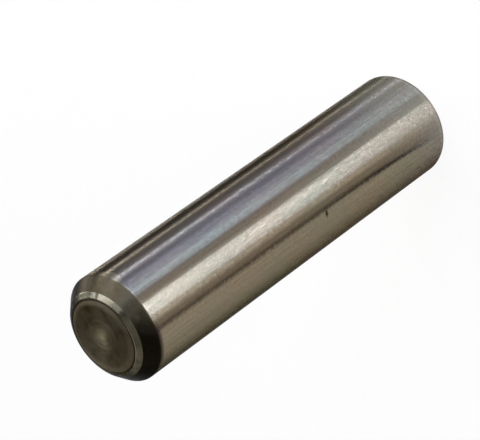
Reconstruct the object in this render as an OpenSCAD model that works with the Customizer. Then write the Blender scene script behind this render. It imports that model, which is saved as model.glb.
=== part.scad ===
// Dowel pin: a hardened cylindrical pin, ground to size on its side.
// It stands on its plain end, with its axis on Z and its foot at Z = 0.
// The upper end has a lead chamfer, a rim bevel, and a flat face with a shallow dish,
// which was turned a little off the axis.

/* [Shank] */
// Diameter of the ground shank
shank_d = 12; // [10:0.5:20]
// Overall length of the pin, end to end
pin_l = 50; // [20:1:120]

/* [Lead end] */
// Length of the lead chamfer along the axis
lead_l = 1.35; // [0.8:0.05:3]
// How far the lead chamfer goes in from the shank
lead_depth = 1.16; // [0.6:0.02:1.4]
// Radius that breaks the corner of shank and lead chamfer
lead_round = 0.2; // [0.05:0.05:0.4]
// Length of the rim bevel along the axis
rim_l = 0.42; // [0.2:0.02:0.8]
// How far the rim bevel goes in from the lead chamfer
rim_depth = 0.61; // [0.3:0.01:0.8]
// Radius that breaks the corner of lead chamfer and rim bevel
rim_round = 0.12; // [0.04:0.02:0.3]

/* [End face] */
// Width of the tool line between the rim bevel and the flat land
line_w = 0.16; // [0.1:0.02:0.3]
// Depth of that tool line
line_depth = 0.1; // [0.04:0.02:0.2]
// Mean width of the flat land round the dish
land_w = 0.45; // [0.3:0.05:0.7]
// Depth of the dish below the land, at the dish's centre
dish_depth = 0.2; // [0.15:0.05:0.8]
// How far the dish's centre is off the axis
dish_off = 0.28; // [0:0.02:0.28]
// Direction of the dish's centre from the axis, from +X towards +Y
dish_turn = 58; // [0:2:180]
// Diameter of the turned pip at the centre of the dish
pip_d = 1.6; // [0.8:0.1:2]
// Height of the pip above the floor of the dish
pip_h = 0.1; // [0.05:0.01:0.14]
// Plain stretch of the dish between the pip and the turned ring
ring_gap = 0.6; // [0.2:0.05:0.7]
// Width of the turned ring
ring_w = 0.4; // [0.2:0.05:0.5]
// Height of the turned ring above the dish
ring_h = 0.03; // [0.02:0.01:0.1]

/* [Plain end] */
// Radius of the rounded edge at the foot
foot_round = 1.2; // [0.4:0.1:2.4]

/* [Hidden] */
$fn = 96;
// Sides of the wide, shallow circle of the dish
dish_sides = 720;
steel = [0.66, 0.65, 0.62];

shank_r = shank_d / 2;
// Where the lead chamfer and the rim bevel meet
rim_r = shank_r - lead_depth;
rim_z = pin_l - rim_l;
lead_z = rim_z - lead_l;
// Radii of the face, from the outside in
face_r = rim_r - rim_depth;
land_r = face_r - line_w;
dish_r = land_r - land_w;
pip_r = pip_d / 2;
ring_r = pip_r + ring_gap + ring_w / 2;
// The dish, the pip and the ring are caps of these radii
dish_curve = cap_radius(dish_r, dish_depth);
pip_curve = cap_radius(pip_r, pip_h);
ring_curve = cap_radius(ring_w / 2, ring_h);
// Slopes of the lead chamfer and the rim bevel, measured from the axis
lead_slope = atan2(lead_depth, lead_l);
rim_slope = atan2(rim_depth, rim_l);

// Radius of the circle whose cap is this high on a base of this half width
function cap_radius(half_w, h) = (half_w * half_w + h * h) / (2 * h);

// Height of the dish's surface at a distance from the axis
function dish_z(r) = pin_l - dish_depth + dish_curve - sqrt(dish_curve * dish_curve - r * r);

// How far back from its corner a round touches, where the outline turns by this angle
function round_reach(radius, turn) = radius * tan(turn / 2);

// A point on the lead chamfer, this far up it from the shank
function on_lead(far) = [shank_r - far * sin(lead_slope), lead_z + far * cos(lead_slope)];

// A point on the rim bevel, this far up it from the lead chamfer
function on_rim(far) = [rim_r - far * sin(rim_slope), rim_z + far * cos(rim_slope)];

lead_reach = round_reach(lead_round, lead_slope);
rim_reach = round_reach(rim_round, rim_slope - lead_slope);
lead_side = sqrt(lead_depth * lead_depth + lead_l * lead_l);

// Centre of the round between lead chamfer and rim bevel, square off the chamfer
rim_touch = on_lead(lead_side - rim_reach);
rim_centre = rim_touch - rim_round * [cos(lead_slope), sin(lead_slope)];

// The outline of the turned blank, with its rounded corners still cut short
module blank() {
    polygon([
        [0, 0],
        [shank_r - foot_round, 0],
        [shank_r, foot_round],
        [shank_r, lead_z - lead_reach],
        on_lead(lead_reach),
        rim_touch,
        on_rim(rim_reach),
        [face_r, pin_l],
        [0, pin_l],
    ]);
}

// The circles that round off the corners of the blank
module corner_rounds() {
    translate([shank_r - foot_round, foot_round]) circle(r = foot_round);
    translate([shank_r - lead_round, lead_z - lead_reach]) circle(r = lead_round);
    translate(rim_centre) circle(r = rim_round);
}

// The tool line outside the land
module tool_line() {
    polygon([
        [face_r, pin_l + line_depth],
        [face_r, pin_l],
        [land_r + line_w / 2, pin_l - line_depth],
        [land_r, pin_l],
        [land_r, pin_l + line_depth],
    ]);
}

// What the turning tool leaves standing in the dish: a low ring and a pip
module face_marks() {
    translate([ring_r, dish_z(ring_r) + ring_h - ring_curve]) circle(r = ring_curve);
    translate([0, pin_l - dish_depth + pip_h - pip_curve]) circle(r = pip_curve);
}

// Half of the section of the pin, on the right of its axis, before its dish is turned
module pin_section() {
    intersection() {
        translate([0, -1]) square([shank_d, pin_l + 2]);
        difference() {
            union() {
                blank();
                corner_rounds();
            }
            tool_line();
        }
    }
}

// Half of the section of what the tool takes out of the dish
module dish_section() {
    intersection() {
        translate([0, pin_l - 2 * dish_depth]) square([2 * dish_r, 3 * dish_depth]);
        difference() {
            translate([0, pin_l - dish_depth + dish_curve]) circle(r = dish_curve, $fn = dish_sides);
            face_marks();
        }
    }
}

module dowel_pin() {
    color(steel) difference() {
        rotate_extrude() pin_section();
        rotate([0, 0, dish_turn]) translate([dish_off, 0, 0]) rotate_extrude() dish_section();
    }
}

dowel_pin();
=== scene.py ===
"""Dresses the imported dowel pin: one turned and ground steel piece, a pale floor, soft lamps and the camera.

The pin stands on its plain end at the origin, with its axis on Z. Azimuths are measured round the pin from
-Y, which faces the camera, towards +X.
"""

import math

import bpy
from mathutils import Matrix, Vector, noise


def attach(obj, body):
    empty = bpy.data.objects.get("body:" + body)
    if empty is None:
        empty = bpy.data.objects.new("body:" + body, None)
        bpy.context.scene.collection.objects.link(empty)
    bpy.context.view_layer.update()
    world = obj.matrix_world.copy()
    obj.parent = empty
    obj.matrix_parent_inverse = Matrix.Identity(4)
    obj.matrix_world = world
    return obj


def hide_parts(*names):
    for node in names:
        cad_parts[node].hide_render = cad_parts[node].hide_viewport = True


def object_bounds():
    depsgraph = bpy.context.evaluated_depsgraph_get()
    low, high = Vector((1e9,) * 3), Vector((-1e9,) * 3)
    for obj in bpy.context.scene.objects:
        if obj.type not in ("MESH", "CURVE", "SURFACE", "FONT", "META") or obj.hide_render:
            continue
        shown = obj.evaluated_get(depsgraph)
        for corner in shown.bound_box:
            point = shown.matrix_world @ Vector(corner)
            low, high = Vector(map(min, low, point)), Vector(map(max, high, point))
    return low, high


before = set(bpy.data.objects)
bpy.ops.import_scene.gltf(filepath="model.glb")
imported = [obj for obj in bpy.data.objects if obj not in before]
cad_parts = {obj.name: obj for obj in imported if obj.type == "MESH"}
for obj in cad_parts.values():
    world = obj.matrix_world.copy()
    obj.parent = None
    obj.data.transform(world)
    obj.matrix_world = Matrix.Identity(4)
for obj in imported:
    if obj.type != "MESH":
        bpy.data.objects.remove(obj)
CAD_LOW, CAD_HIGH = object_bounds()

MM = 0.001

# Sizes of the pin in millimetres, as in the part's source
PIN_L = (CAD_HIGH.z - CAD_LOW.z) / MM
SHANK_R = max(CAD_HIGH.x, CAD_HIGH.y) / MM
FOOT_ROUND = 1.2
LEAD_L = 1.35
LEAD_DEPTH = 1.16
LEAD_ROUND = 0.2
RIM_L = 0.42
RIM_DEPTH = 0.61
RIM_ROUND = 0.12
LINE_W = 0.16
LINE_DEPTH = 0.1
LAND_W = 0.45
DISH_DEPTH = 0.2
DISH_OFF = 0.28
DISH_TURN = math.radians(58)
PIP_R = 0.8
PIP_H = 0.1
RING_R = 1.6
RING_HALF_W = 0.2
RING_H = 0.03

RIM_R = SHANK_R - LEAD_DEPTH
FACE_R = RIM_R - RIM_DEPTH
LAND_R = FACE_R - LINE_W
DISH_R = LAND_R - LAND_W
RIM_Z = PIN_L - RIM_L
LEAD_Z = RIM_Z - LEAD_L
LEAD_SLOPE = math.atan2(LEAD_DEPTH, LEAD_L)
RIM_SLOPE = math.atan2(RIM_DEPTH, RIM_L)
DISH_CENTRE = (DISH_OFF * math.cos(DISH_TURN), DISH_OFF * math.sin(DISH_TURN), 0.0)

# How finely the piece is revolved, and how finely its longest stretches are divided
SEGMENTS = 288
SHANK_STEPS = 158
DISH_STEPS = 56

# Radius of the first ring round the foot's centre, as a part of the flat's radius
FOOT_HUB = 0.02

# Where the ground side's finish ends on the rounded foot, as an angle above the radial direction
FOOT_GROUND = math.radians(-62)

# Waves left by the grinding: height in millimetres, waves per millimetre across and along the pin, and shift
GRINDING_WAVES = (
    (0.004, 0.35, 0.25, Vector((0, 0, 0))),
    (0.0012, 0.9, 1.4, Vector((7, 3, 1))),
)

# Metal colours
STEEL_WARM = (0.332, 0.292, 0.255, 1)
STEEL_COOL = (0.298, 0.297, 0.262, 1)
STEEL_DARK = (0.15, 0.14, 0.118, 1)
STEEL_WORN = (0.62, 0.60, 0.55, 1)
# Painted shade for the top of the side under the lead, towards -X
EDGE_SHADE = (0.09, 0.065, 0.055, 1)
GRIME = (0.045, 0.036, 0.025, 1)
LEAD_DARK = (0.03, 0.027, 0.02, 1)
LEAD_OLIVE = (0.092, 0.079, 0.052, 1)
LEAD_BROWN = (0.077, 0.066, 0.049, 1)
# Painted shade on the lead
LEAD_SHADE = (0.012, 0.0105, 0.008, 1)
LEAD_WARM = (0.066, 0.053, 0.029, 1)
LEAD_OLIVE_LIGHT = (0.13, 0.118, 0.083, 1)
FACE_DARK = (0.06, 0.052, 0.033, 1)
FACE_DEEP = (0.037, 0.027, 0.016, 1)
FACE_LIGHT = (0.1, 0.093, 0.055, 1)
FACE_OLIVE = (0.11, 0.1, 0.062, 1)
FACE_BROWN = (0.1, 0.082, 0.062, 1)
FACE_LAND = (0.2, 0.176, 0.122, 1)
# Painted highlight at the face's centre
FACE_GLINT = (0.36, 0.325, 0.225, 1)
RIM_DARK = (0.185, 0.173, 0.123, 1)
RIM_LIGHT = (0.375, 0.385, 0.33, 1)
FOOT_DARK = (0.045, 0.04, 0.03, 1)
FOOT_LIGHT = (0.1, 0.09, 0.07, 1)

# Specular tints, which set the gloss that is left at a grazing angle
SIDE_TINT = (0.09, 0.08, 0.06, 1)
SKIN_TINT = (0.12, 0.11, 0.08, 1)
LEAD_TINT = (0.48, 0.485, 0.5, 1)
RIM_TINT = (0.2, 0.21, 0.25, 1)

# How much the side and the skins spread their gloss, and the turn of it that lays it across their grain
SIDE_SPREAD = 1.0
SKIN_SPREAD = 0.5
SPREAD_TURN = 0.25

# Roughness of the side low down and high up, the least roughness of each skin, and how much theirs varies
SIDE_ROUGH = (0.235, 0.258)
FOOT_ROUGH = 0.45
LEAD_ROUGH = 0.34
RIM_ROUGH = 0.16
FACE_ROUGH = 0.48
ROUGH_RANGE = 0.12

# Scales of the noises, per metre on X, Y and Z
GRIND_LINES = (2500, 2500, 30000)
GRAIN = (1800, 1800, 4500)
CELLS = (3200, 3200, 5000)
WAVES = (520, 520, 330)
STREAKS = (4000, 4000, 60)
DRIFT = (240, 240, 90)
SKIN_PATCHES = (420, 420, 420)
SKIN_HUES = (700, 650, 600)
FACE_CLOUDS = (700, 700, 700)
FACE_SWIRLS = (900, 900, 900)
LEAD_SPECKS = (2600, 2600, 1300)
RIM_SPECKS = (1800, 1800, 1800)

# Turned lines per millimetre, and the heights in metres of the bumps of lines and patches
TOOL_LINES = 9.0
TOOL_LINE_BUMP = 0.000012
PATCH_BUMP = 0.00001

# How far each noise tilts the side's surface, as slopes: low down and high up, or all over
LINE_TILT = (0.2, 0.1)
GRAIN_TILT = (0.045, 0.015)
STREAK_TILT = (0.018, 0.004)
WAVE_TILT = 0.004
CELL_TILT = 0.004

# Where the side goes from its low to its high finish, as parts of the pin's length
LOW_PART = 0.3
HIGH_PART = 0.9

# A small nick in the side: millimetres up, and round from the front, and its half height and half width
NICK_HEIGHT = 21.4
NICK_ROUND = -3.3
NICK_HALF_H = 0.3
NICK_HALF_W = 0.55

# Where the painted highlight sits on the face, beside the dish's centre, and where the bevel has a dull spot
# round the side, with its half width, all in millimetres
PIP_GLINT = (0.1, 0.55, 0.0)
RIM_SPOT = 5.5
RIM_SPOT_HALF_W = 0.5

# Angles from the front, in radians, between which the marks even out towards the back
BACK_FROM = 2.2
BACK_TO = 2.9

# The floor's half width in metres, its grey and its gloss, and the part of its white that takes no shadow
FLOOR_HALF = 2.0
FLOOR_GREY = (0.9, 0.9, 0.9, 1)
FLOOR_ROUGH = 0.9
FLOOR_GLOSS = 0.1
FLOOR_PLAIN = 0.9

# Distance of the lamps, reach of the cards from the axis, and height of the cards above the floor, in metres
LAMP_DISTANCE = 0.4
CARD_REACH = 0.4
CARD_LIFT = 0.0002
CARD_STEPS = 12

# Colours of the plain lamps and of the dim room
NEUTRAL = (1, 1, 1)
ROOM_COLOUR = (1, 0.9, 0.75, 1)
ROOM_STRENGTH = 0.08

# The two sides of the camera's view that pass in front of the pin: azimuth, and distance from the axis in
# metres. The least cosine keeps a card's inner edge within reach where it runs along a side.
VIEW_SIDES = ((-45, 0.0109), (61.5, 0.0152))
LEAST_COSINE = 0.05

# The camera, fitted to the pin's outline in the photograph: lens and sensor in millimetres, place in metres,
# and angles in degrees
LENS = 188.36
SENSOR = 36
CAMERA_PLACE = (0.0, -0.20454, 0.19193)
CAMERA_DOWN = 38.84
CAMERA_ASIDE = -0.453
CAMERA_ROLL = -125.35


def cap_radius(half_width, height):
    """Radius of the circle whose cap is this high on a base of this half width."""
    return (half_width**2 + height**2) / (2 * height)


def cap(distance, half_width, height):
    """Height of a round cap at a distance from its centre."""
    if distance >= half_width:
        return 0.0
    radius = cap_radius(half_width, height)
    return math.sqrt(radius**2 - distance**2) - (radius - height)


def line(start, end, steps):
    """Points along a straight side of the section, without its last."""
    return [tuple(a + (b - a) * i / steps for a, b in zip(start, end)) for i in range(steps)]


def arc(centre, radius, start, end, steps):
    """Points along a round corner of the section, without its last.

    The start and end are angles above the radial direction.
    """
    angles = [start + (end - start) * i / steps for i in range(steps)]
    return [(centre[0] + radius * math.cos(a), centre[1] + radius * math.sin(a)) for a in angles]


def face_height(r):
    """Height of the turned face at a distance from the dish's centre."""
    hollow = cap(r, DISH_R, DISH_DEPTH)
    marks = cap(r, PIP_R, PIP_H) + cap(abs(r - RING_R), RING_HALF_W, RING_H)
    return PIN_L - hollow + marks


def section():
    """The pin's section as (radius, height, zone), from the foot's centre up to the face's centre."""
    lead_reach = LEAD_ROUND * math.tan(LEAD_SLOPE / 2)
    rim_reach = RIM_ROUND * math.tan((RIM_SLOPE - LEAD_SLOPE) / 2)
    lead_dir = (-math.sin(LEAD_SLOPE), math.cos(LEAD_SLOPE))
    rim_dir = (-math.sin(RIM_SLOPE), math.cos(RIM_SLOPE))
    corner = (SHANK_R, LEAD_Z)
    rim_corner = (RIM_R, RIM_Z)
    lead_start = tuple(c + lead_reach * d for c, d in zip(corner, lead_dir))
    rim_touch = tuple(c - rim_reach * d for c, d in zip(rim_corner, lead_dir))
    rim_start = tuple(c + rim_reach * d for c, d in zip(rim_corner, rim_dir))
    rim_centre = (
        rim_touch[0] - RIM_ROUND * math.cos(LEAD_SLOPE),
        rim_touch[1] - RIM_ROUND * math.sin(LEAD_SLOPE),
    )
    foot_edge = SHANK_R - FOOT_ROUND
    foot_centre = (foot_edge, FOOT_ROUND)
    shank_top = LEAD_Z - lead_reach
    line_bottom = (FACE_R - LINE_W / 2, PIN_L - LINE_DEPTH)
    stretches = [
        ("foot", line((foot_edge * FOOT_HUB, 0), (foot_edge, 0), 10)),
        ("foot", arc(foot_centre, FOOT_ROUND, -math.pi / 2, FOOT_GROUND, 6)),
        ("shank", arc(foot_centre, FOOT_ROUND, FOOT_GROUND, 0, 10)),
        ("shank", line((SHANK_R, FOOT_ROUND), (SHANK_R, shank_top), SHANK_STEPS)),
        ("lead", arc((SHANK_R - LEAD_ROUND, shank_top), LEAD_ROUND, 0, LEAD_SLOPE, 5)),
        ("lead", line(lead_start, rim_touch, 12)),
        ("rim", arc(rim_centre, RIM_ROUND, LEAD_SLOPE, RIM_SLOPE, 4)),
        ("rim", line(rim_start, (FACE_R, PIN_L), 6)),
        ("face", line((FACE_R, PIN_L), line_bottom, 3)),
        ("face", line(line_bottom, (LAND_R, PIN_L), 3)),
        ("face", line((LAND_R, PIN_L), (DISH_R, PIN_L), 4)),
    ]
    rows = [(r, z, zone) for zone, points in stretches for r, z in points]
    for i in range(DISH_STEPS):
        r = DISH_R * (1 - i / DISH_STEPS)
        rows.append((r, face_height(r), "face"))
    return rows


def off_centre(r):
    """How far, from 0 to 1, the ring of this radius shares the dish's offset from the axis."""
    return min(1.0, max(0.0, (LAND_R - r) / LAND_W))


def waviness(point):
    """Radial error left by the grinding, in millimetres."""
    error = 0.0
    for height, across, along, shift in GRINDING_WAVES:
        place = Vector((point.x * across, point.y * across, point.z * along)) + shift
        error += height * noise.noise(place)
    return error


def ring_of_points(r, z, zone):
    """One ring of the revolved section, in metres. The side is only ever ground inwards."""
    centre = Vector(DISH_CENTRE) * (off_centre(r) if zone == "face" else 0.0)
    points = []
    for j in range(SEGMENTS):
        angle = 2 * math.pi * j / SEGMENTS
        point = Vector((r * math.sin(angle), -r * math.cos(angle), z))
        if zone == "shank":
            point.xy *= 1 + min(0.0, waviness(point)) / r
        points.append((centre + point) * MM)
    return points


def build_pin(zone_names):
    """Revolves the section into one closed mesh, whose faces take the material of their zone."""
    rows = section()
    vertices = [point for row in rows for point in ring_of_points(*row)]
    foot_centre = len(vertices)
    vertices.append(Vector((0.0, 0.0, 0.0)))
    face_centre = len(vertices)
    vertices.append((Vector(DISH_CENTRE) + Vector((0.0, 0.0, face_height(0.0)))) * MM)
    faces, zones = [], []
    for i in range(len(rows) - 1):
        low, high = i * SEGMENTS, (i + 1) * SEGMENTS
        for j in range(SEGMENTS):
            k = (j + 1) % SEGMENTS
            faces.append((low + j, low + k, high + k, high + j))
            zones.append(zone_names.index(rows[i][2]))
    last = (len(rows) - 1) * SEGMENTS
    for j in range(SEGMENTS):
        k = (j + 1) % SEGMENTS
        faces.append((foot_centre, k, j))
        zones.append(zone_names.index("foot"))
        faces.append((face_centre, last + j, last + k))
        zones.append(zone_names.index("face"))
    mesh = bpy.data.meshes.new("pin_body")
    mesh.from_pydata(vertices, [], faces)
    mesh.polygons.foreach_set("material_index", zones)
    mesh.polygons.foreach_set("use_smooth", [True] * len(faces))
    mesh.validate()
    pin = bpy.data.objects.new("pin_body", mesh)
    bpy.context.scene.collection.objects.link(pin)
    return pin


class Graph:
    """A material's node tree, with short calls for the nodes used here.

    The finishes measure heights, radii and distances round the side in millimetres.
    """

    def __init__(self, name):
        self.material = bpy.data.materials.new(name)
        self.material.use_nodes = True
        self.tree = self.material.node_tree
        self.shader = self.tree.nodes["Principled BSDF"]
        coordinates = self.tree.nodes.new("ShaderNodeTexCoord")
        self.place = coordinates.outputs["Object"]
        self.plain_normal = coordinates.outputs["Normal"]

    def link(self, value, socket):
        """Links an output to a socket, or sets the socket to a plain value."""
        if isinstance(value, bpy.types.NodeSocket):
            self.tree.links.new(value, socket)
        else:
            socket.default_value = value

    def metal(self, tint, spread):
        """Sets the shader to metal, whose grain runs round the axis and spreads its gloss along it."""
        self.shader.inputs["Metallic"].default_value = 1.0
        self.shader.inputs["Specular Tint"].default_value = tint
        self.shader.inputs["Anisotropic"].default_value = spread
        self.shader.inputs["Anisotropic Rotation"].default_value = SPREAD_TURN
        node = self.tree.nodes.new("ShaderNodeTangent")
        node.direction_type = "RADIAL"
        node.axis = "Z"
        self.link(node.outputs["Tangent"], self.shader.inputs["Tangent"])

    def noise(self, scale, detail, rough):
        """Noise on the object coordinates times a scale for each axis."""
        node = self.tree.nodes.new("ShaderNodeMapping")
        self.link(self.place, node.inputs["Vector"])
        node.inputs["Scale"].default_value = scale
        return self.noise_on(node.outputs["Vector"], detail, rough)

    def noise_on(self, vector, detail, rough):
        """Noise on any vector, from 0 to 1."""
        node = self.tree.nodes.new("ShaderNodeTexNoise")
        self.link(vector, node.inputs["Vector"])
        node.inputs["Scale"].default_value = 1.0
        node.inputs["Detail"].default_value = detail
        node.inputs["Roughness"].default_value = rough
        return node.outputs["Fac"]

    def ramp(self, value, low, high, to_low=0.0, to_high=1.0):
        """Maps low..high to to_low..to_high, clamped."""
        node = self.tree.nodes.new("ShaderNodeMapRange")
        node.clamp = True
        self.link(value, node.inputs["Value"])
        node.inputs["From Min"].default_value = low
        node.inputs["From Max"].default_value = high
        node.inputs["To Min"].default_value = to_low
        node.inputs["To Max"].default_value = to_high
        return node.outputs["Result"]

    def math(self, operation, a, b=0.0):
        """One step of arithmetic on numbers or outputs."""
        node = self.tree.nodes.new("ShaderNodeMath")
        node.operation = operation
        self.link(a, node.inputs[0])
        self.link(b, node.inputs[1])
        return node.outputs[0]

    def plus(self, a, b):
        """The sum of two values."""
        return self.math("ADD", a, b)

    def minus(self, a, b):
        """The first value less the second."""
        return self.math("SUBTRACT", a, b)

    def times(self, a, b):
        """The product of two values."""
        return self.math("MULTIPLY", a, b)

    def most(self, a, b):
        """The larger of two values."""
        return self.math("MAXIMUM", a, b)

    def mix(self, factor, first, second):
        """The first colour where the factor is 0, and the second where it is 1."""
        node = self.tree.nodes.new("ShaderNodeMix")
        node.data_type = "RGBA"
        self.link(factor, node.inputs["Factor"])
        self.link(first, node.inputs["A"])
        self.link(second, node.inputs["B"])
        return node.outputs["Result"]

    def bump(self, height, distance, normal=None):
        """The normal of a surface raised by a height from 0 to 1 times a distance in metres."""
        node = self.tree.nodes.new("ShaderNodeBump")
        node.inputs["Distance"].default_value = distance
        self.link(height, node.inputs["Height"])
        if normal is not None:
            self.link(normal, node.inputs["Normal"])
        return node.outputs["Normal"]

    def vector(self, operation, a, b=(0.0, 0.0, 0.0)):
        """One step of arithmetic on vectors. The second value is a number where the first is scaled by it."""
        node = self.tree.nodes.new("ShaderNodeVectorMath")
        node.operation = operation
        self.link(a, node.inputs[0])
        self.link(b, node.inputs["Scale" if operation == "SCALE" else 1])
        return node.outputs["Value" if operation == "LENGTH" else "Vector"]

    def split(self):
        """The object coordinates as three outputs."""
        node = self.tree.nodes.new("ShaderNodeSeparateXYZ")
        self.link(self.place, node.inputs["Vector"])
        return node.outputs["X"], node.outputs["Y"], node.outputs["Z"]

    def height_mm(self):
        """Height above the foot, in millimetres."""
        return self.times(self.split()[2], 1 / MM)

    def radius_mm(self, centre=None):
        """Distance from the axis, or from the upright line through a centre, in millimetres."""
        away = self.place
        if centre is not None:
            away = self.vector("SUBTRACT", away, tuple(c * MM for c in centre))
        return self.vector("LENGTH", self.vector("MULTIPLY", away, (1 / MM, 1 / MM, 0.0)))

    def radius_and_height(self):
        """Distance from the axis and height above the foot, in millimetres, as a vector."""
        node = self.tree.nodes.new("ShaderNodeCombineXYZ")
        self.link(self.radius_mm(), node.inputs["X"])
        self.link(self.height_mm(), node.inputs["Z"])
        return node.outputs["Vector"]

    def round_mm(self):
        """Distance round the side from the front, in millimetres, towards +X."""
        x, y, _ = self.split()
        return self.times(self.math("ARCTAN2", x, self.times(y, -1.0)), SHANK_R)

    def even_behind(self, mask, value):
        """The mask, led to one value at the back, where the distance round the side jumps."""
        from_front = self.math("ABSOLUTE", self.round_mm())
        behind = self.ramp(from_front, SHANK_R * BACK_FROM, SHANK_R * BACK_TO)
        return self.plus(self.times(mask, self.minus(1.0, behind)), self.times(behind, value))

    def ring(self, value, centre, half_width):
        """1 on a line, falling to 0 at a half width to each side of it."""
        away = self.math("ABSOLUTE", self.minus(value, centre))
        return self.ramp(away, 0.0, half_width, 1.0, 0.0)

    def tilt(self, along, round_axis):
        """The surface's normal, tilted along the axis and round it by these slopes."""
        side = self.vector("CROSS_PRODUCT", (0.0, 0.0, 1.0), self.plain_normal)
        up = self.vector("SCALE", (0.0, 0.0, 1.0), along)
        across = self.vector("SCALE", side, round_axis)
        bent = self.vector("ADD", self.vector("ADD", self.plain_normal, up), across)
        return self.vector("NORMALIZE", bent)


def ground_steel():
    """The ground side: fine lines round the pin, which spread its gloss along the axis."""
    g = Graph("ground_steel")
    g.metal(SIDE_TINT, SIDE_SPREAD)
    height = g.height_mm()
    round_side = g.round_mm()
    upper = g.ramp(height, PIN_L * LOW_PART, PIN_L * HIGH_PART)
    cells = g.noise(CELLS, 2.0, 0.6)
    streaks = g.noise(STREAKS, 2.0, 0.6)
    drift = g.noise(DRIFT, 3.0, 0.55)

    # Clean metal, darker in streaks and cells
    warm_or_cool = g.mix(g.ramp(drift, 0.35, 0.65), STEEL_WARM, STEEL_COOL)
    shade = g.plus(g.times(streaks, 0.5), g.times(cells, 0.5))
    steel = g.mix(g.ramp(shade, 0.36, 0.64, 0.13, 0.52), warm_or_cool, STEEL_DARK)

    # Worn bright where the side meets the lead towards +X, and round the foot
    edge_noise = g.times(cells, 0.5)
    worn = g.ramp(g.minus(height, edge_noise), LEAD_Z - 0.5, LEAD_Z - 0.25)
    worn = g.times(worn, g.even_behind(g.ramp(round_side, -0.6, 0.6), 0.5))
    foot_worn = g.ramp(g.plus(height, edge_noise), FOOT_ROUND, FOOT_ROUND + 0.5, 1.0, 0.0)
    steel = g.mix(g.times(g.most(worn, foot_worn), 0.25), steel, STEEL_WORN)

    # Stained under the lead towards +X; towards -X, painted shade darkens the side brown just under the lead
    stain_reach = g.even_behind(g.ramp(round_side, 1.5, 5.0), 0.0)
    stain_top = g.plus(height, g.times(stain_reach, g.ramp(drift, 0.3, 0.7, 0.8, 1.5)))
    stain = g.times(g.ramp(stain_top, LEAD_Z + 0.1, LEAD_Z + 0.5), stain_reach)
    steel = g.mix(g.times(stain, 0.75), steel, LEAD_OLIVE_LIGHT)
    shade_side = g.even_behind(g.ramp(round_side, -1.2, -2.6, 0.0, 0.8), 0.0)
    edge_shade = g.times(g.ramp(height, LEAD_Z - 0.6, LEAD_Z - 0.1), shade_side)
    steel = g.mix(edge_shade, steel, EDGE_SHADE)

    nick = g.times(g.ring(height, NICK_HEIGHT, NICK_HALF_H), g.ring(round_side, NICK_ROUND, NICK_HALF_W))
    nick = g.ramp(g.times(nick, g.ramp(cells, 0.25, 0.5, 0.4, 1.4)), 0.1, 0.8)
    steel = g.mix(g.times(nick, 0.85), steel, GRIME)
    g.link(steel, g.shader.inputs["Base Color"])

    # The stain is dull, but less so towards +X, where it is seen at a grazing angle
    stain_dull = g.ramp(round_side, SHANK_R * 0.95, SHANK_R * 1.2, 0.25, 0.04)
    dull = g.plus(g.times(nick, 0.2), g.times(stain, stain_dull))
    dull = g.plus(dull, g.times(edge_shade, 0.35))
    g.link(g.plus(g.ramp(upper, 0.0, 1.0, *SIDE_ROUGH), dull), g.shader.inputs["Roughness"])
    g.link(ground_normal(g, upper, cells, streaks), g.shader.inputs["Normal"])
    return g.material


def ground_normal(g, upper, cells, streaks):
    """The side's surface, tilted along the axis by the grinding, and round it by waves, cells and streaks."""
    lines = g.ramp(g.noise(GRIND_LINES, 1.0, 0.5), 0.38, 0.62, -1.0, 1.0)
    grain = g.ramp(g.noise(GRAIN, 2.0, 0.6), 0.25, 0.75, -1.0, 1.0)
    along = g.times(lines, g.ramp(upper, 0.0, 1.0, *LINE_TILT))
    along = g.plus(along, g.times(grain, g.ramp(upper, 0.0, 1.0, *GRAIN_TILT)))
    across = g.ramp(g.noise(WAVES, 2.0, 0.6), 0.2, 0.8, -WAVE_TILT, WAVE_TILT)
    across = g.plus(across, g.ramp(cells, 0.2, 0.8, -CELL_TILT, CELL_TILT))
    drawn = g.ramp(streaks, 0.2, 0.8, -1.0, 1.0)
    across = g.plus(across, g.times(drawn, g.ramp(upper, 0.0, 1.0, *STREAK_TILT)))
    return g.tilt(along, across)


def dark_finish(name, tones, rough, tint=SKIN_TINT):
    """Turned steel under a dark heat-treatment skin, with its tool lines round the axis.

    It returns the graph and the skin's colour, mottled from three tones, which the caller marks and links.
    """
    g = Graph(name)
    dark, light, brown = tones
    g.metal(tint, SKIN_SPREAD)
    patches = g.noise(SKIN_PATCHES, 4.0, 0.65)
    hue = g.noise(SKIN_HUES, 3.0, 0.6)
    lines = g.noise_on(g.vector("MULTIPLY", g.radius_and_height(), (TOOL_LINES,) * 3), 2.0, 0.6)
    g.link(g.ramp(patches, 0.3, 0.7, rough, rough + ROUGH_RANGE), g.shader.inputs["Roughness"])
    g.link(g.bump(patches, PATCH_BUMP, g.bump(lines, TOOL_LINE_BUMP)), g.shader.inputs["Normal"])
    skin = g.mix(g.ramp(patches, 0.3, 0.7), dark, light)
    return g, g.mix(g.ramp(hue, 0.42, 0.6, 0.0, 0.7), skin, brown)


def foot_finish():
    """The flat of the plain end."""
    g, skin = dark_finish("foot_skin", (FOOT_DARK, FOOT_LIGHT, FOOT_LIGHT), FOOT_ROUGH)
    g.link(skin, g.shader.inputs["Base Color"])
    return g.material


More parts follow.
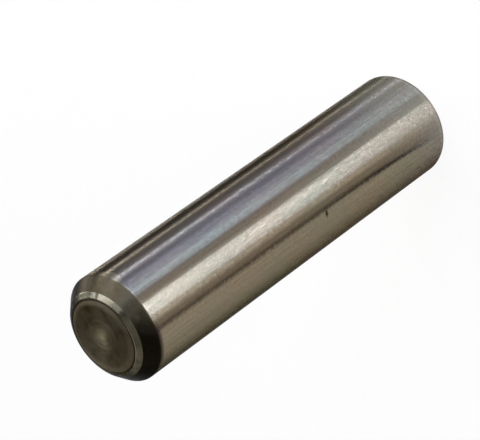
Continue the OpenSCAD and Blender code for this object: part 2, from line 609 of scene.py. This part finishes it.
def lead_finish():
    """The turned lead-in: painted shade darkens its skin towards -X and round at +X, and it is warm between
    them.
    """
    g, skin = dark_finish("lead_skin", (LEAD_DARK, LEAD_OLIVE, LEAD_BROWN), LEAD_ROUGH, LEAD_TINT)
    turn = g.round_mm()
    specks = g.noise(LEAD_SPECKS, 3.0, 0.6)
    skin = g.mix(g.ramp(specks, 0.5, 0.72, 0.0, 0.25), skin, LEAD_OLIVE_LIGHT)
    skin = g.mix(g.ramp(specks, 0.3, 0.48, 0.18, 0.0), skin, LEAD_DARK)
    warm = g.ring(turn, SHANK_R * 0.45, SHANK_R * 0.5)
    skin = g.mix(g.times(warm, 0.8), skin, LEAD_WARM)
    # Painted shade, darkest towards -X, away from the lamps, and round at +X
    left = g.ramp(turn, -SHANK_R * 0.3, SHANK_R * 0.35, 1.0, 0.0)
    right = g.ramp(g.ring(turn, SHANK_R * 1.5, SHANK_R * 0.5), 0.0, 0.5)
    shaded = g.times(g.most(left, right), 0.8)
    skin = g.mix(g.even_behind(shaded, 0.4), skin, LEAD_SHADE)
    g.link(skin, g.shader.inputs["Base Color"])
    return g.material


def rim_finish():
    """The turned bevel: brighter metal, with one dull spot and grime along its inner edge."""
    g, skin = dark_finish("rim_bevel", (RIM_DARK, RIM_LIGHT, RIM_DARK), RIM_ROUGH, RIM_TINT)
    specks = g.noise(RIM_SPECKS, 2.0, 0.6)
    along = g.plus(g.round_mm(), g.ramp(specks, 0.3, 0.7, -0.15, 0.15))
    spot = g.ring(along, RIM_SPOT, RIM_SPOT_HALF_W)
    skin = g.mix(g.ramp(spot, 0.1, 0.8, 0.0, 0.9), skin, FACE_DARK)
    inner = g.ramp(g.radius_mm(), FACE_R + RIM_DEPTH * 0.12, FACE_R + RIM_DEPTH * 0.3, 1.0, 0.0)
    grimy = g.ramp(g.ring(along, RIM_R * 0.8, RIM_R), 0.0, 0.5, 0.2, 0.95)
    skin = g.mix(g.times(inner, grimy), skin, GRIME)
    g.link(skin, g.shader.inputs["Base Color"])
    return g.material


def face_finish():
    """The turned face: clouded in the hollow, paler on the land with painted light towards +X, paler round
    the ring, and with a painted highlight at the centre.
    """
    g, skin = dark_finish("face_skin", (FACE_DARK, FACE_OLIVE, FACE_BROWN), FACE_ROUGH)
    clouds = g.noise(FACE_CLOUDS, 2.0, 0.5)
    skin = g.mix(g.ramp(clouds, 0.36, 0.48, 0.6, 0.0), skin, FACE_LIGHT)
    skin = g.mix(g.ramp(clouds, 0.52, 0.62, 0.0, 0.45), skin, FACE_DEEP)
    swirl = g.noise(FACE_SWIRLS, 3.0, 0.6)
    shift = g.ramp(swirl, 0.3, 0.7, -0.2, 0.2)
    dish_radius = g.radius_mm(DISH_CENTRE)

    # The land, with painted light that makes it palest towards +X
    turn = g.round_mm()
    land_light = g.most(g.ramp(turn, 1.0, 8.5, 0.25, 1.0), g.ramp(turn, -9.0, -2.0, 0.55, 0.25))
    land = g.ramp(g.plus(dish_radius, g.times(shift, 0.35)), DISH_R - 0.28, DISH_R + 0.12)
    skin = g.mix(g.times(land, g.even_behind(land_light, 0.75)), skin, FACE_LAND)

    # The turned ring
    ring = g.ring(g.plus(dish_radius, shift), RING_R, RING_HALF_W * 2.5)
    ring = g.times(ring, g.ramp(swirl, 0.35, 0.65))
    skin = g.mix(g.times(ring, 0.2), skin, FACE_LAND)

    # Painted highlight beside the centre, where the pip's glint falls, with a paler painted glow round it
    glint_away = g.plus(g.radius_mm(PIP_GLINT), shift)
    glint_halo = g.ramp(glint_away, PIP_R, PIP_R * 2.6, 1.0, 0.0)
    centre = g.ramp(glint_away, PIP_R * 0.1, PIP_R * 1.2, 1.0, 0.0)
    skin = g.mix(g.times(glint_halo, 0.42), skin, FACE_LAND)
    skin = g.mix(g.times(centre, 0.95), skin, FACE_GLINT)

    # Grime in the tool line
    groove = g.ramp(g.ring(g.radius_mm(), (FACE_R + LAND_R) / 2, LINE_W), 0.0, 0.6)
    skin = g.mix(g.times(groove, 0.8), skin, GRIME)
    g.link(skin, g.shader.inputs["Base Color"])
    return g.material


def floor():
    """A pale floor. Part of its white is the same from every side, and the rest takes the pin's shadow."""
    mesh = bpy.data.meshes.new("floor")
    half = FLOOR_HALF
    corners = [(-half, -half, 0), (half, -half, 0), (half, half, 0), (-half, half, 0)]
    mesh.from_pydata(corners, [], [(0, 1, 2, 3)])
    plane = bpy.data.objects.new("floor", mesh)
    bpy.context.scene.collection.objects.link(plane)
    g = Graph("pale_floor")
    g.shader.inputs["Base Color"].default_value = FLOOR_GREY
    g.shader.inputs["Roughness"].default_value = FLOOR_ROUGH
    g.shader.inputs["Specular IOR Level"].default_value = FLOOR_GLOSS
    white = g.tree.nodes.new("ShaderNodeEmission")
    path = g.tree.nodes.new("ShaderNodeLightPath")
    seen = g.most(path.outputs["Is Camera Ray"], path.outputs["Is Glossy Ray"])
    seen = g.most(seen, path.outputs["Is Transmission Ray"])
    both = g.tree.nodes.new("ShaderNodeMixShader")
    g.link(g.times(seen, FLOOR_PLAIN), both.inputs["Fac"])
    g.link(g.shader.outputs["BSDF"], both.inputs[1])
    g.link(white.outputs["Emission"], both.inputs[2])
    g.link(both.outputs["Shader"], g.tree.nodes["Material Output"].inputs["Surface"])
    mesh.materials.append(g.material)


def direction(azimuth, elevation):
    """The unit vector that points this way from the pin, for angles in degrees."""
    a, e = math.radians(azimuth), math.radians(elevation)
    return Vector((math.sin(a) * math.cos(e), -math.cos(a) * math.cos(e), math.sin(e)))


def softbox(name, azimuths, elevations, colour, radiance):
    """A soft rectangular lamp that spans these angles as seen from the middle of the pin, and faces it.

    Its radiance is what a mirror would show of it.
    """
    azimuth = sum(azimuths) / 2
    elevation = sum(elevations) / 2
    half_width = math.radians(azimuths[1] - azimuths[0]) / 2
    half_height = math.radians(elevations[1] - elevations[0]) / 2
    data = bpy.data.lights.new(name, "AREA")
    data.shape = "RECTANGLE"
    data.size = 2 * LAMP_DISTANCE * math.tan(half_width) * math.cos(math.radians(elevation))
    data.size_y = 2 * LAMP_DISTANCE * math.tan(half_height)
    data.color = colour
    data.energy = radiance * math.pi * data.size * data.size_y
    lamp = bpy.data.objects.new(name, data)
    away = direction(azimuth, elevation)
    lamp.location = Vector((0, 0, PIN_L * MM / 2)) + away * LAMP_DISTANCE
    lamp.rotation_euler = away.to_track_quat("Z", "Y").to_euler()
    lamp.visible_camera = False
    bpy.context.scene.collection.objects.link(lamp)


def outside_view(azimuth):
    """Distance from the axis, in this direction, at which the floor leaves the camera's view."""
    return min(
        gap / max(LEAST_COSINE, math.cos(math.radians(azimuth - side)))
        for side, gap in VIEW_SIDES
    )


def card(name, azimuths, colour):
    """A plain card flat on the floor outside the view, which only the metal's gloss sees."""
    start, end = azimuths
    turns = [start + (end - start) * i / CARD_STEPS for i in range(CARD_STEPS + 1)]
    inner = [direction(turn, 0) * outside_view(turn) for turn in turns]
    outer = [direction(turn, 0) * CARD_REACH for turn in reversed(turns)]
    mesh = bpy.data.meshes.new(name)
    points = [(p.x, p.y, CARD_LIFT) for p in inner + outer]
    mesh.from_pydata(points, [], [tuple(range(len(points)))])
    sheet = bpy.data.objects.new(name, mesh)
    sheet.visible_camera = False
    sheet.visible_diffuse = False
    sheet.visible_shadow = False
    bpy.context.scene.collection.objects.link(sheet)
    material = bpy.data.materials.new(name)
    material.use_nodes = True
    tree = material.node_tree
    tone = tree.nodes.new("ShaderNodeEmission")
    tone.inputs["Color"].default_value = (*colour, 1)
    tree.links.new(tone.outputs["Emission"], tree.nodes["Material Output"].inputs["Surface"])
    mesh.materials.append(material)


def studio():
    """The dim room, the lamps and the cards, at azimuths and elevations in degrees."""
    world = bpy.data.worlds.new("studio")
    world.use_nodes = True
    background = world.node_tree.nodes["Background"]
    background.inputs["Color"].default_value = ROOM_COLOUR
    background.inputs["Strength"].default_value = ROOM_STRENGTH
    bpy.context.scene.world = world

    # Low lamps, which the ground side draws out into the bright stripes along the pin
    softbox("key", (-7, 5.5), (-2, 20), (0.98, 0.99, 0.98), 26.6)
    softbox("key_edge", (5.5, 13), (-2, 20), (0.98, 0.98, 0.93), 2.0)
    softbox("key_left", (-18.5, -7), (-2, 20), (0.98, 0.99, 0.98), 19.0)
    softbox("key_side", (-29.5, -18.5), (-2, 20), (1, 0.94, 0.86), 6.2)
    softbox("cool", (27, 42), (-2, 38), (0.62, 0.75, 1), 8.6)
    softbox("violet", (42, 56), (-2, 38), (0.66, 0.7, 1), 5.7)
    softbox("strip", (70.8, 75.2), (-2, 24), (0.8, 0.84, 1), 43.0)
    softbox("thin_strip", (97, 99), (-2, 12), (1, 0.96, 0.87), 98.0)
    softbox("limb", (120, 140), (-2, 14), (1, 0.97, 0.92), 18.0)

    # High lamps, which the lead end mirrors
    softbox("side", (67, 124), (33, 63), NEUTRAL, 2.2)
    softbox("side_low", (112, 150), (18, 33), (1, 0.96, 0.88), 0.55)
    softbox("side_high", (45, 67), (50, 70), NEUTRAL, 1.7)
    softbox("top", (-120, 10), (60, 85), (1, 0.97, 0.85), 0.2)
    softbox("left", (-168, -92), (12, 58), (1, 0.93, 0.76), 0.18)
    softbox("back", (140, 215), (42, 72), (1, 0.98, 0.9), 0.9)

    # Cards, which the ground side mirrors between the stripes
    card("dark_tan", (-150, -50.5), (0.95, 0.855, 0.665))
    card("dark_left", (-50.5, -43), (0.05, 0.03, 0.02))
    card("dark_front", (-43, -31), (0.6, 0.5, 0.37))
    card("dark_slope", (-31, -20), (0.85, 0.73, 0.56))
    card("dark_middle", (8, 27), (0.66, 0.56, 0.475))
    card("dark_cool", (27, 42), (0.84, 0.92, 1))
    card("dark_violet", (42, 56), (0.66, 0.68, 0.82))
    card("dark_right", (56, 72), (0.5, 0.5, 0.72))
    card("dark_strip", (72, 90), (0.38, 0.35, 0.42))
    card("dark_gap", (90, 100), (0.3, 0.28, 0.28))
    card("dark_side", (100, 120), (0.05, 0.045, 0.03))
    card("dark_limb", (120, 140), (0.05, 0.045, 0.03))


def camera():
    """The camera, which looks down on the pin and is rolled to give the photograph's slant."""
    data = bpy.data.cameras.new("camera")
    data.lens = LENS
    data.sensor_width = SENSOR
    cam = bpy.data.objects.new("camera", data)
    cam.location = CAMERA_PLACE
    aside = Matrix.Rotation(math.radians(CAMERA_ASIDE), 4, "Z")
    forward = aside @ -direction(0, CAMERA_DOWN)
    level = forward.to_track_quat("-Z", "Y").to_matrix().to_4x4()
    roll = Matrix.Rotation(math.radians(CAMERA_ROLL), 4, "Z")
    cam.rotation_euler = (level @ roll).to_euler()
    bpy.context.scene.collection.objects.link(cam)
    bpy.context.scene.camera = cam


FINISHES = {
    "shank": ground_steel,
    "foot": foot_finish,
    "lead": lead_finish,
    "rim": rim_finish,
    "face": face_finish,
}
pin = build_pin(list(FINISHES))
for finish in FINISHES.values():
    pin.data.materials.append(finish())
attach(pin, "root")
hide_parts("dowel_pin")
floor()
studio()
camera()
bpy.context.scene.view_settings.view_transform = "Standard"
